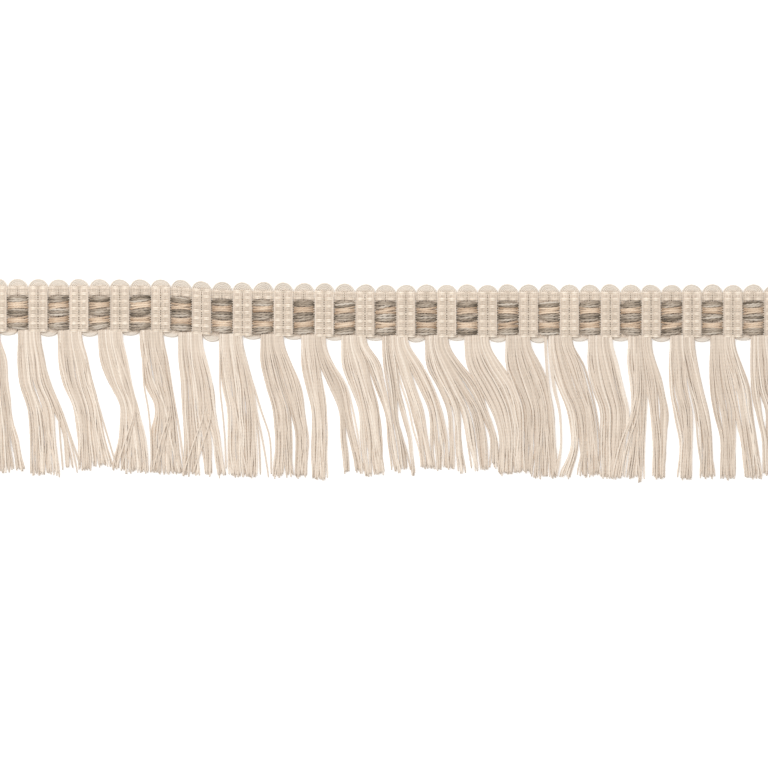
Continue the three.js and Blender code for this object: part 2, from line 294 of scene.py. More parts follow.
# Camera, floor and light, in metres, degrees and watts. FRAME and SENSOR are in millimetres.
FRAME_WIDTH = 225.7
FRAME_CENTRE = (-0.44, -1.06)
CAMERA_DISTANCE = 1.6
CAMERA_REACH = 10
SENSOR = 36.0
SURROUND_STRENGTH = 0.75
LAMP_POWER = 4.6
LAMP_SIZE = (0.8, 0.6)
LAMP_PLACE = (-0.35, 0.45, 0.8)
LAMP_TILT = (-29, -23, 0)
FLOOR_HALF = 1.5
FLOOR_SHADE = 0.97
FLOOR_ROUGHNESS = 0.9
FLOOR_GLOW = 0.25
WHITE = (1.0, 1.0, 1.0, 1.0)

# One row for each lock of yarns: tuft, drop, then its left and right edge at each of EDGE_DEPTHS
# below the heading and last at its tip. Places are along X, from the middle of the coloured
# block above the tuft's left side.
LOCK_ROWS = (
    (1, 42.0, (-0.3, 3.2), (0.5, 4.2), (1.2, 4.8), (2.3, 6.1), (2.6, 6.2), (3.2, 5.8)),
    (1, 41.4, (3.2, 5.2), (4.2, 6.8), (4.8, 7.4), (6.1, 8.4), (6.2, 9.0), (6.4, 9.6)),
    (1, 40.9, (5.2, 6.8), (6.8, 8.6), (7.4, 9.4), (8.5, 10.1), (9.0, 12.1), (10.0, 14.6)),
    (2, 42.0, (0.0, 5.0), (-0.2, 6.0), (0.3, 7.2), (2.6, 10.4), (3.5, 11.5), (3.5, 12.7)),
    (2, 40.0, (5.0, 6.9), (6.0, 7.9), (7.2, 9.6), (10.4, 12.9), (13.5, 14.7), (14.0, 16.0)),
    (3, 40.6, (-0.3, 3.6), (-0.3, 4.6), (0.9, 6.0), (4.2, 8.4), (5.3, 9.2), (5.6, 9.4)),
    (3, 39.7, (3.6, 7.0), (4.6, 8.6), (6.0, 10.3), (8.4, 12.4), (9.2, 13.6), (9.6, 16.2)),
    (4, 40.3, (-0.5, 0.7), (-0.1, 1.6), (2.4, 3.9), (6.3, 7.4), (5.5, 6.7), (3.9, 5.5)),
    (4, 41.2, (0.7, 6.8), (1.6, 8.0), (3.9, 9.5), (6.8, 11.6), (6.6, 13.6), (6.4, 15.0)),
    (5, 41.6, (-0.2, 6.9), (0.2, 8.1), (1.2, 9.5), (4.3, 10.7), (3.1, 11.9), (3.0, 13.0)),
    (6, 41.7, (-0.9, 0.6), (-0.9, 0.8), (-0.1, 1.6), (0.2, 2.2), (0.8, 2.6), (0.2, 2.3)),
    (6, 41.4, (0.6, 4.2), (0.8, 4.8), (1.6, 6.2), (2.2, 7.2), (2.6, 8.9), (2.3, 9.1)),
    (6, 41.7, (4.2, 6.4), (4.8, 7.8), (6.2, 9.9), (7.2, 10.8), (9.2, 11.7), (10.6, 13.6)),
    (7, 41.4, (-0.9, 4.0), (-0.9, 5.2), (-0.1, 6.4), (1.6, 7.0), (1.4, 7.4), (2.3, 7.4)),
    (7, 41.4, (4.0, 6.1), (5.2, 7.6), (6.4, 9.6), (7.2, 10.2), (7.4, 10.6), (7.4, 10.4)),
    (8, 41.3, (-0.7, 2.6), (-0.9, 3.8), (0.6, 5.8), (2.9, 8.2), (3.2, 8.8), (2.4, 9.4)),
    (8, 41.3, (2.6, 6.2), (3.8, 8.2), (5.8, 11.4), (8.2, 12.6), (9.4, 13.5), (9.4, 13.2)),
    (9, 42.0, (-0.8, 3.4), (-0.8, 4.6), (0.6, 5.9), (2.1, 7.1), (2.1, 7.1), (2.2, 6.8)),
    (9, 39.7, (3.4, 4.6), (4.6, 6.3), (7.4, 9.6), (10.3, 11.7), (10.9, 12.7), (11.8, 13.8)),
    (9, 39.7, (4.6, 6.5), (6.3, 8.3), (9.6, 12.7), (11.7, 13.9), (13.6, 15.7), (15.0, 17.6)),
    (10, 40.9, (-1.0, 1.2), (-1.0, 2.4), (1.6, 4.6), (4.2, 6.3), (4.8, 7.4), (6.4, 8.2)),
    (10, 40.3, (1.2, 4.0), (2.4, 6.6), (4.6, 8.6), (6.3, 10.7), (7.4, 11.3), (8.4, 12.0)),
    (10, 39.4, (4.0, 6.6), (6.6, 10.8), (8.9, 12.6), (11.9, 13.9), (12.7, 15.4), (14.0, 16.6)),
    (11, 38.8, (-1.0, 1.0), (-0.8, 1.8), (0.4, 3.0), (1.9, 3.7), (3.4, 5.7), (4.2, 6.9)),
    (11, 40.6, (1.0, 2.2), (1.8, 3.0), (3.0, 4.2), (4.6, 6.3), (6.9, 7.8), (7.6, 8.5)),
    (11, 38.5, (2.2, 4.2), (3.0, 6.4), (4.7, 9.0), (6.9, 11.9), (9.0, 13.0), (10.1, 14.0)),
    (11, 38.8, (4.2, 6.6), (6.4, 10.2), (9.8, 14.3), (12.8, 16.9), (13.2, 18.5), (14.0, 18.8)),
    (12, 38.8, (-0.4, 0.8), (-0.4, 1.6), (3.4, 4.7), (6.4, 7.8), (6.8, 8.2), (6.6, 8.2)),
    (12, 40.0, (0.8, 2.3), (1.6, 3.8), (4.7, 7.3), (8.1, 10.0), (8.6, 10.5), (8.6, 11.7)),
    (12, 39.1, (2.3, 4.4), (3.8, 6.8), (7.3, 11.4), (10.3, 16.2), (11.8, 17.8), (13.4, 18.4)),
    (12, 38.2, (4.4, 6.7), (6.8, 9.9), (11.4, 16.2), (16.2, 18.7), (18.7, 21.1), (18.7, 21.4)),
    (13, 40.3, (-0.8, 3.0), (-0.6, 4.6), (3.2, 8.8), (7.3, 12.1), (9.4, 13.0), (9.4, 13.0)),
    (13, 39.7, (3.0, 6.6), (4.6, 9.7), (8.8, 14.6), (12.1, 16.4), (13.0, 16.6), (13.0, 16.0)),
    (14, 39.7, (-0.7, 2.2), (-0.9, 2.8), (1.6, 5.2), (3.9, 7.4), (4.0, 7.2), (4.1, 6.6)),
    (14, 41.4, (2.2, 6.5), (2.8, 9.1), (5.2, 12.3), (7.4, 13.5), (7.2, 14.1), (6.6, 14.4)),
    (15, 41.4, (-0.2, 1.8), (0.1, 2.8), (2.7, 4.9), (5.6, 8.0), (6.3, 9.0), (2.6, 6.6)),
    (15, 41.0, (1.8, 3.6), (2.8, 5.2), (4.9, 7.4), (8.0, 10.4), (9.0, 11.0), (9.9, 11.4)),
    (15, 40.5, (3.6, 7.0), (5.2, 10.2), (7.4, 12.7), (10.4, 14.5), (11.0, 15.2), (11.4, 15.4)),
    (16, 41.4, (-0.5, 3.0), (-0.8, 3.8), (0.6, 5.4), (3.3, 7.4), (3.1, 7.2), (3.3, 6.9)),
    (16, 41.4, (3.0, 6.6), (3.8, 8.3), (5.4, 10.1), (7.4, 11.6), (7.2, 10.8), (6.9, 9.2)),
    (17, 41.2, (-0.8, 2.3), (-1.0, 2.6), (-0.1, 3.4), (0.2, 3.5), (-0.8, 3.0), (-2.3, 2.2)),
    (17, 42.6, (2.3, 3.4), (2.6, 4.0), (3.4, 5.0), (3.3, 4.9), (3.0, 4.6), (2.2, 4.3)),
    (17, 41.4, (3.4, 4.9), (4.0, 6.0), (5.0, 7.8), (5.8, 8.4), (6.4, 9.0), (6.3, 8.8)),
    (17, 41.4, (4.9, 6.3), (6.0, 7.6), (7.8, 10.1), (8.8, 11.6), (9.0, 11.0), (8.8, 10.4)),
    (18, 41.7, (-0.5, 3.0), (-0.7, 3.8), (-0.7, 4.8), (0.8, 6.4), (2.2, 6.1), (1.6, 6.1)),
    (18, 41.3, (3.0, 7.0), (3.8, 7.9), (5.2, 9.6), (7.4, 11.4), (8.4, 12.3), (8.6, 12.8)),
    (19, 41.6, (-0.6, 3.2), (-0.9, 3.8), (-0.6, 5.2), (0.5, 6.8), (2.3, 7.0), (2.4, 7.0)),
    (19, 41.5, (3.2, 6.8), (3.8, 8.5), (5.2, 11.2), (6.8, 12.3), (8.2, 13.5), (9.3, 14.6)),
    (20, 40.3, (-0.7, 0.9), (-0.9, 1.0), (-0.6, 1.6), (0.9, 2.9), (2.7, 4.2), (2.7, 4.8)),
    (20, 40.9, (0.9, 6.6), (1.0, 7.8), (1.6, 8.9), (3.8, 10.0), (4.2, 10.6), (5.0, 11.2)),
)

# Single yarns that leave their tuft: tuft, drop, then their place at each of STRAY_DEPTHS below
# the heading and last at their tip
STRAY_ROWS = (
    (2, 40.6, 6.0, 9.0, 11.9, 12.45, 13.3),
    (2, 41.4, 6.2, 9.2, 12.6, 15.3, 17.6),
    (2, 39.0, 6.4, 9.4, 12.7, 15.6, 18.4),
    (3, 39.5, 6.2, 9.8, 12.0, 14.5, 17.0),
    (4, 40.4, 4.4, 8.4, 10.2, 7.8, 4.8),
    (4, 40.8, 4.8, 8.8, 10.6, 8.8, 6.2),
    (5, 41.0, 0.6, 1.0, 2.35, 3.1, 3.4),
    (5, 40.6, 4.0, 7.2, 8.6, 6.2, 3.6),
    (5, 41.0, 4.6, 7.8, 9.2, 7.2, 4.8),
    (6, 40.4, 4.0, 6.2, 6.6, 3.9, 0.7),
    (6, 40.8, 4.6, 7.4, 8.8, 6.7, 3.4),
    (7, 39.0, -0.6, -0.6, 0.2, 0.9, 1.2),
    (7, 40.6, 5.7, 9.3, 11.7, 14.2, 14.5),
    (7, 41.6, 5.4, 9.0, 10.2, 12.0, 13.7),
    (7, 40.8, 5.2, 8.7, 9.8, 10.9, 11.3),
    (9, 40.2, 5.6, 12.6, 14.7, 16.2, 17.2),
    (15, 39.6, -1.1, -0.15, 1.0, 1.6, 1.5),
    (15, 40.2, -0.8, 0.0, 1.2, 1.75, 1.9),
    (15, 39.6, 0.1, 1.3, 3.2, 3.6, 1.9),
    (15, 40.8, 0.4, 1.75, 3.4, 3.7, 2.3),
    (15, 40.4, 2.6, 6.2, 9.0, 9.9, 8.2),
    (15, 40.8, 2.8, 6.5, 9.3, 10.1, 9.1),
    (17, 40.8, 1.6, 1.8, 0.3, -3.0, -5.4),
    (17, 41.0, 2.0, 2.3, 1.0, -2.2, -4.4),
    (17, 41.2, 2.4, 2.9, 2.0, -0.8, -3.2),
    (17, 41.2, 1.2, 1.3, 0.5, -1.9, -3.8),
    (18, 40.0, 3.4, 5.4, 7.1, 7.8, 9.2),
)


def smoothstep(start, end, value):
    """Smooth blend from 0 at start to 1 at end."""
    t = np.clip((np.asarray(value, float) - start) / (end - start), 0.0, 1.0)
    return t * t * (3.0 - 2.0 * t)


def first_row_y(x):
    """Y of the top of the first coloured row at a place along the trim."""
    y = FIRST_ROW_Y + np.zeros_like(np.asarray(x, float))
    for start, end, rise in STEP_RISES:
        y = y + rise * (1.0 - smoothstep(start, end, x))
    return y


def uneven(number):
    """A small, repeatable unevenness between -1 and 1 for the nth piece of a kind."""
    return 0.6 * math.sin(2.4 * number + 0.7) + 0.4 * math.sin(5.3 * number + 1.9)


def smooth_curve(depths, values):
    """Rounded curve near depth and value pairs, which starts straight down."""
    depths = np.asarray(depths, float)
    values = np.asarray(values, float)
    steps = np.diff(depths)
    slopes = np.diff(values) / steps
    tangents = np.zeros_like(values)
    tangents[-1] = slopes[-1]
    for i in range(1, len(values) - 1):
        before, after = slopes[i - 1], slopes[i]
        tangents[i] = 0.0 if before * after <= 0 else 2 * before * after / (before + after)

    def through(depth):
        i = np.clip(np.searchsorted(depths, depth) - 1, 0, len(depths) - 2)
        t = (depth - depths[i]) / steps[i]
        blend = t * t * (3 - 2 * t)
        bulge = t * (1 - t) * steps[i]
        line = values[i] + blend * (values[i + 1] - values[i])
        return line + bulge * ((1 - t) * tangents[i] - t * tangents[i + 1])

    def at(depth):
        nearby = [through(np.clip(depth + shift, depths[0], depths[-1])) for shift in ROUNDING]
        return np.mean(nearby, axis=0)

    return at


class Yarns:
    """Collects round yarns and makes one closed mesh of them."""

    def __init__(self):
        self.points = []
        self.quads = []
        self.caps = []
        self.uvs = []
        self.tints = []
        self.backlights = []
        self.count = 0

    def add(self, path, wide, high, sides, tint, pitch=TWIST_PITCH, lobes=0.0, phase=0.0, pale=0.0):
        """One yarn along path, in mm. Its section is wide across and high upwards, lobes is how
        far the plies stand out as they turn once in every pitch, tint is dark 0 to light 1 and
        pale is how far the colour fades to a paler, greyer shade, which is painted light standing
        for light that shows through thin edge loops."""
        path = np.asarray(path, float)
        steps = len(path)
        wide = np.broadcast_to(wide, steps)
        high = np.broadcast_to(high, steps)
        tangent = np.gradient(path, axis=0)
        tangent /= np.linalg.norm(tangent, axis=1)[:, None]
        side = np.cross(tangent, (0.0, 0.0, 1.0))
        side /= np.linalg.norm(side, axis=1)[:, None]
        normal = np.cross(side, tangent)
        along = np.concatenate(([0.0], np.cumsum(np.linalg.norm(np.diff(path, axis=0), axis=1))))
        angle = math.tau * np.arange(sides) / sides
        turn = math.tau * along[:, None] / pitch + phase
        swell = 1.0 + lobes * np.cos(2 * (angle[None, :] - turn))
        across = (np.cos(angle)[None, :] * swell * wide[:, None] / 2)[:, :, None]
        upward = (np.sin(angle)[None, :] * swell * high[:, None] / 2)[:, :, None]
        ring = path[:, None, :] + across * side[:, None, :] + upward * normal[:, None, :]
        first = self.count
        self.points.append(ring.reshape(-1, 3))
        row = np.arange(steps - 1)[:, None] * sides
        here = np.arange(sides)[None, :]
        there = (here + 1) % sides
        next_row = row + sides
        quads = np.stack((row + here, next_row + here, next_row + there, row + there), axis=-1)
        self.quads.append(first + quads.reshape(-1, 4))
        start, end = along[:-1, None] / pitch, along[1:, None] / pitch
        near, far = here / sides, (here + 1) / sides
        corners = [(start, near), (end, near), (end, far), (start, far)]
        uv = np.stack([np.stack(np.broadcast_arrays(u, v), -1) for u, v in corners], 2)
        self.uvs.append(uv.reshape(-1, 2))
        self.caps.append(first + np.arange(sides))
        self.caps.append(first + (steps - 1) * sides + np.arange(sides)[::-1])
        self.tints.append(np.repeat(np.broadcast_to(tint, steps) - NOISE_MEAN, sides))
        # How far each point is painted paler, as light showing through a thin loop
        self.backlights.append(np.repeat(np.broadcast_to(pale, steps), sides))
        self.count += steps * sides

    def build(self, name):
        """The yarns as one object, in metres."""
        points = np.concatenate(self.points) * MM
        quads = np.concatenate(self.quads)
        caps = np.concatenate(self.caps)
        cap_sizes = np.array([len(cap) for cap in self.caps])
        loops = np.concatenate((quads.reshape(-1), caps))
        sizes = np.concatenate((np.full(len(quads), 4), cap_sizes))
        starts = np.concatenate(([0], np.cumsum(sizes)[:-1]))
        mesh = bpy.data.meshes.new(name)
        mesh.vertices.add(len(points))
        mesh.vertices.foreach_set("co", points.reshape(-1))
        mesh.loops.add(len(loops))
        mesh.loops.foreach_set("vertex_index", loops.astype(np.int32))
        mesh.polygons.add(len(sizes))
        mesh.polygons.foreach_set("loop_start", starts.astype(np.int32))
        mesh.polygons.foreach_set("use_smooth", np.ones(len(sizes), bool))
        uv = mesh.uv_layers.new(name="yarn")
        flat = np.zeros((len(loops), 2))
        flat[: len(quads) * 4] = np.concatenate(self.uvs)
        uv.data.foreach_set("uv", flat.reshape(-1))
        for kind, values in (("tint", self.tints), ("pale", self.backlights)):
            attribute = mesh.attributes.new(kind, "FLOAT", "POINT")
            attribute.data.foreach_set("value", np.concatenate(values))
        mesh.update(calc_edges=True)
        mesh.validate()
        piece = bpy.data.objects.new(name, mesh)
        bpy.context.collection.objects.link(piece)
        return piece


def srgb(red, green, blue):
    """A colour given as on screen, 0 to 255, for a shader."""
    def channel(value):
        value /= 255.0
        return value / 12.92 if value <= 0.04045 else ((value + 0.055) / 1.055) ** 2.4
    return (channel(red), channel(green), channel(blue), 1.0)


def yarn_material(name, dark, middle, light, twist_strength, slant, streakiness):
    """Matt spun yarn: each yarn has its own tint, with fibre streaks and a twist in relief.
    slant is the angle in degrees at which the streaks wind round the yarn."""
    material = bpy.data.materials.new(name)
    material.use_nodes = True
    nodes = material.node_tree.nodes
    links = material.node_tree.links
    shader = nodes["Principled BSDF"]
    shader.inputs["Roughness"].default_value = YARN_ROUGHNESS
    shader.inputs["Sheen Weight"].default_value = YARN_SHEEN
    shader.inputs["Sheen Roughness"].default_value = SHEEN_ROUGHNESS
    shader.inputs["Specular IOR Level"].default_value = YARN_SPECULAR

    coordinates = nodes.new("ShaderNodeTexCoord")
    streak_map = nodes.new("ShaderNodeMapping")
    streak_map.vector_type = "TEXTURE"
    streak_map.inputs["Rotation"].default_value = (0.0, 0.0, math.radians(slant))
    streak_map.inputs["Scale"].default_value = STREAK_STRETCH
    links.new(coordinates.outputs["UV"], streak_map.inputs["Vector"])
    streaks = nodes.new("ShaderNodeTexNoise")
    streaks.inputs["Scale"].default_value = STREAK_SCALE
    streaks.inputs["Detail"].default_value = STREAK_DETAIL
    links.new(streak_map.outputs["Vector"], streaks.inputs["Vector"])

    blotches = nodes.new("ShaderNodeTexNoise")
    blotches.inputs["Scale"].default_value = BLOTCH_SCALE
    blotches.inputs["Detail"].default_value = BLOTCH_DETAIL
    links.new(coordinates.outputs["Object"], blotches.inputs["Vector"])

    tint = nodes.new("ShaderNodeAttribute")
    tint.attribute_name = "tint"
    centred = nodes.new("ShaderNodeMath")
    centred.operation = "SUBTRACT"
    centred.inputs[1].default_value = 0.5 - STREAK_MEAN / streakiness
    links.new(streaks.outputs["Fac"], centred.inputs[0])
    mixed = nodes.new("ShaderNodeMath")
    mixed.operation = "MULTIPLY_ADD"
    mixed.inputs[1].default_value = streakiness
    links.new(centred.outputs["Value"], mixed.inputs[0])
    links.new(tint.outputs["Fac"], mixed.inputs[2])
    varied = nodes.new("ShaderNodeMath")
    varied.operation = "MULTIPLY_ADD"
    varied.inputs[1].default_value = BLOTCH_SHARE
    links.new(blotches.outputs["Fac"], varied.inputs[0])
    links.new(mixed.outputs["Value"], varied.inputs[2])
    ramp = nodes.new("ShaderNodeValToRGB")
    stops = ramp.color_ramp.elements
    stops[0].position = DARK_STOP
    stops[0].color = dark
    stops[1].position = LIGHT_STOP
    stops[1].color = light
    stops.new(MIDDLE_STOP).color = middle
    links.new(varied.outputs["Value"], ramp.inputs["Fac"])
    # Painted light: the pale attribute fades the colour to a paler, greyer shade where light would
    # show through thin edge loops
    pale = nodes.new("ShaderNodeAttribute")
    pale.attribute_name = "pale"
    backlit = nodes.new("ShaderNodeMixRGB")
    backlit.inputs["Color2"].default_value = BACKLIT_EDGE_COLOUR
    links.new(pale.outputs["Fac"], backlit.inputs["Fac"])
    links.new(ramp.outputs["Color"], backlit.inputs["Color1"])
    links.new(backlit.outputs["Color"], shader.inputs["Base Color"])

    twist_map = nodes.new("ShaderNodeMapping")
    twist_map.inputs["Scale"].default_value = TWIST_STRETCH
    links.new(coordinates.outputs["UV"], twist_map.inputs["Vector"])
    twist = nodes.new("ShaderNodeTexWave")
    twist.bands_direction = "DIAGONAL"
    twist.inputs["Scale"].default_value = TWIST_SCALE
    twist.inputs["Distortion"].default_value = TWIST_DISTORTION
    twist.inputs["Detail"].default_value = TWIST_DETAIL
    links.new(twist_map.outputs["Vector"], twist.inputs["Vector"])
    twist_bump = nodes.new("ShaderNodeBump")
    twist_bump.inputs["Strength"].default_value = twist_strength
    twist_bump.inputs["Distance"].default_value = TWIST_RELIEF * MM
    links.new(twist.outputs["Fac"], twist_bump.inputs["Height"])
    fibre_bump = nodes.new("ShaderNodeBump")
    fibre_bump.inputs["Strength"].default_value = FIBRE_STRENGTH
    fibre_bump.inputs["Distance"].default_value = FIBRE_RELIEF * MM
    links.new(streaks.outputs["Fac"], fibre_bump.inputs["Height"])
    links.new(twist_bump.outputs["Normal"], fibre_bump.inputs["Normal"])
    links.new(fibre_bump.outputs["Normal"], shader.inputs["Normal"])
    return material


def floor_material():
    """Plain pale studio floor."""
    material = bpy.data.materials.new("studio_floor")
    material.use_nodes = True
    shader = material.node_tree.nodes["Principled BSDF"]
    shader.inputs["Base Color"].default_value = (FLOOR_SHADE, FLOOR_SHADE, FLOOR_SHADE, 1.0)
    shader.inputs["Roughness"].default_value = FLOOR_ROUGHNESS
    shader.inputs["Specular IOR Level"].default_value = 0.0
    shader.inputs["Emission Color"].default_value = WHITE
    shader.inputs["Emission Strength"].default_value = FLOOR_GLOW
    return material


def to_world(x, down, z):
    """Points of the heading: place along the trim, distance down from the first row, height."""
    x = np.asarray(x, float)
    down = np.broadcast_to(down, x.shape)
    z = np.broadcast_to(z, x.shape)
    return np.stack((x, first_row_y(x) - down, z), axis=-1)


def column_height(down, layer):
    """Height of the column weft: pressed down by each binder and swelling between binders."""
    press = 0.5 * (1 + np.cos(math.tau * (down - BINDER_SHIFT) / BINDER_PITCH))
    inside = smoothstep(*COLUMN_START, down) * (1 - smoothstep(*COLUMN_STOP, down))
    top = LOOP_HEIGHT + inside * (COLUMN_RISE - COLUMN_PRESS * press)
    return top - COLUMN_LAYER_DROP * layer


def float_height(down, layer):
    """Height of the weft under the coloured floats, which rises again at the upper edge."""
    under = smoothstep(*FLOAT_DIVE, down)
    top = LOOP_HEIGHT + FLOAT_RISE * smoothstep(*FLOAT_START, down) * (1 - under)
    return top - LAYER_DROP * layer


def straight(start, end, x, foot, height, layer):
    """A stretch of weft along Y at x, as columns of x, down and z. Near the upper edge it moves
    over to the foot of its loop."""
    count = max(3, int(abs(end - start) / WEFT_STEP))
    down = np.linspace(start, end, count)
    aside = 1 - smoothstep(*LOOP_EASE, down)
    return np.stack((x + (foot - x) * aside, down, height(down, layer)), axis=-1)


def loop(left, right, base, stretch, layer, steps=LOOP_STEPS, turn=WHOLE_LOOP, lean=0.0):
    """A half round of weft from the left place to the right, past the heading's edge. Its crest
    leans to one side by lean, as a share of its radius."""
    middle, radius = (left + right) / 2, (right - left) / 2
    angle = np.linspace(turn[0], turn[1], steps + 2)[1:-1]
    x = middle + radius * (np.cos(angle) + lean * np.sin(angle) ** 2)
    down = base + stretch * radius * np.sin(angle)
    top = LOOP_HEIGHT - LOOP_SINK * np.sin(angle)
    return np.stack((x, down, top - LAYER_DROP * layer), axis=-1)


def loop_feet(middle, lane, layer, pitch):
    """The two feet of an upper loop. The innermost lane turns almost on the spot."""
    radius = INNER_LOOP + (lane + 0.5 * layer) * pitch
    return middle - radius, middle + radius


def lane_places(repeat, lane, layer):
    """Where one weft yarn passes through a repeat: up, down, up again and down again."""
    base = repeat * REPEAT - HALF_LENGTH
    spread = lane - (WEFT_LANES - 1) / 2 + 0.5 * layer
    pair, block = base + PAIR, base + REPEAT
    column, under = spread * COLUMN_PITCH, spread * FLOAT_PITCH
    return (
        pair - COLUMN_OFFSET + column,
        pair + COLUMN_OFFSET - column,
        block - FLOAT_OFFSET + under,
        block + FLOAT_OFFSET - under,
    )


def weft_course(repeat, lane, layer):
    """One weft yarn through a repeat, from one tuft to the next. Columns are x, down and z."""
    rise, fall, climb, drop = lane_places(repeat, lane, layer)
    ring = WEFT_LANES - 1 - lane
    pair_feet = loop_feet((rise + fall) / 2, ring, -layer, PAIR_LOOP_PITCH)
    block_feet = loop_feet((climb + drop) / 2, ring, -layer, BLOCK_LOOP_PITCH)
    upper, lower = UPPER_LOOP_BASE, LOWER_LOOP_BASE
    crest = -UPPER_LOOP_STRETCH * (1 + (HIGH_LOBES if repeat in HIGH_LOBE_REPEATS else 0.0))
    pair_crest = crest * (1 + LOOP_CHANGE * uneven(3 * repeat))
    block_crest = crest * (1 + LOOP_CHANGE * uneven(3 * repeat + 1))
    pair_lean, block_lean = LOOP_LEAN * uneven(5 * repeat), LOOP_LEAN * uneven(5 * repeat + 2)
    depth = LOWER_LOOP_STRETCH * (1 + DEEP_LOOPS.get(repeat, 0.0))
    stretches = []
    if repeat >= 0:
        stretches += [
            straight(WEFT_END, upper, rise, pair_feet[0], column_height, layer),
            loop(*pair_feet, upper, pair_crest, layer, lean=pair_lean),
            straight(upper, lower, fall, pair_feet[1], column_height, layer),
            loop(fall, climb, lower, depth, layer),
            straight(lower, upper, climb, block_feet[0], float_height, layer),
        ]
    if repeat < 0:
        block_loop = loop(*block_feet, upper, block_crest, layer, LOOP_STEPS // 2, RIGHT_HALF)
    elif repeat == REPEATS - 1:
        block_loop = loop(*block_feet, upper, block_crest, layer, LOOP_STEPS // 2, LEFT_HALF)
    else:
        block_loop = loop(*block_feet, upper, block_crest, layer, lean=block_lean)
    stretches.append(block_loop)
    if repeat < REPEATS - 1:
        stretches.append(straight(upper, WEFT_END, drop, block_feet[1], float_height, layer))
    return np.concatenate(stretches)


def weft_layer(name, layer, sides, rng):
    """One layer of the heading's weft, from end to end."""
    yarns = Yarns()
    for repeat in range(-1, REPEATS):
        for lane in range(WEFT_LANES):
            course = weft_course(repeat, lane, layer)
            path = to_world(course[:, 0], course[:, 1], course[:, 2])
            # The loops past both edges are painted paler, as light showing through them
            upper = 1 - smoothstep(*UPPER_BACKLIGHT, course[:, 1])
            lower = smoothstep(*LOWER_BACKLIGHT, course[:, 1])
            tint, phase = rng.uniform(*WEFT_TINTS), rng.uniform(0, math.tau)
            pale = EDGE_BACKLIGHT * np.maximum(upper, lower)
            yarns.add(path, WEFT_WIDE, WEFT_HIGH, sides, tint, phase=phase, pale=pale)
    return yarns.build(name)


def from_block(x):
    """Distance of places along the trim from the middle of their nearest coloured block."""
    return (np.asarray(x) + HALF_LENGTH + PAIR) % REPEAT - PAIR


def warp_yarns(name, rows, kind, rng):
    """Coloured warp yarns, floating over the blocks and passing under the cream columns."""
    yarns = Yarns()
    x = np.linspace(-HALF_LENGTH, HALF_LENGTH, WARP_STEPS)
    place = from_block(x)
    arch = np.clip(1 - (place / BLOCK_HALF) ** 2, 0, 1)
    block = np.round((x + HALF_LENGTH) / REPEAT).astype(int)
    side = np.floor((x + HALF_LENGTH) / PAIR).astype(int)
    blocks = REPEATS + 1
    gather = kind["gather_ends"] + (kind["gather_middle"] - kind["gather_ends"]) * arch
    for row in rows:
        centre, spread = WARP_ROWS[row]
        swell = rng.uniform(*SWELLS, blocks)[block]
        tilt = FLOAT_TILT + rng.normal(0, TILT_CHANGE, blocks)[block]
        rise = FLOAT_END_HEIGHT - UNDER_HEIGHT + kind["arch"] * arch * swell
        middle = centre - tilt * np.clip(place, -TILT_REACH, TILT_REACH)
        for offset in kind["offsets"]:
            end = BLOCK_HALF + rng.normal(0, RAGGED_ENDS, 2 * REPEATS + 1)[side]
            over = 1 - smoothstep(end - FLOAT_INSIDE, end + FLOAT_OUTSIDE, np.abs(place))
            cross = rng.normal(0, kind["cross"], blocks)[block] * place / BLOCK_HALF * over
            down = middle + offset * gather * swell * spread + cross
            z = UNDER_HEIGHT + over * rise - OUTER_YARN_DROP * abs(offset) * over
            width = kind["wide"] * (kind["thin_ends"] + (1 - kind["thin_ends"]) * arch * over)
            height = kind["high"] * (UNDER_THINNESS + (1 - UNDER_THINNESS) * over)
            path = to_world(x, down, z)
            shade = rng.normal(0, kind["shades"], blocks)[block]
            # Painted shade at the float's ends, where it dives under the columns, and a painted
            # highlight towards its arched crest; shade is a random tone for each block
            tint = kind["shaded_ends"] + kind["crest_highlight"] * arch**CREST_HIGHLIGHT_POWER + shade
            phase = rng.uniform(0, math.tau)
            yarns.add(path, width, height, WARP_SIDES, tint, kind["pitch"], kind["lobes"], phase)
    return yarns.build(name)


def smoothed(values):
    """Values along a yarn, each averaged with its two neighbours."""
    return np.convolve(np.pad(values, 1, mode="edge"), SMOOTHING, mode="valid")


def bump(distance, length):
    """A rounded rise that is 1 at no distance and fades out over about its length."""
    return np.exp(-((distance / length) ** 2))


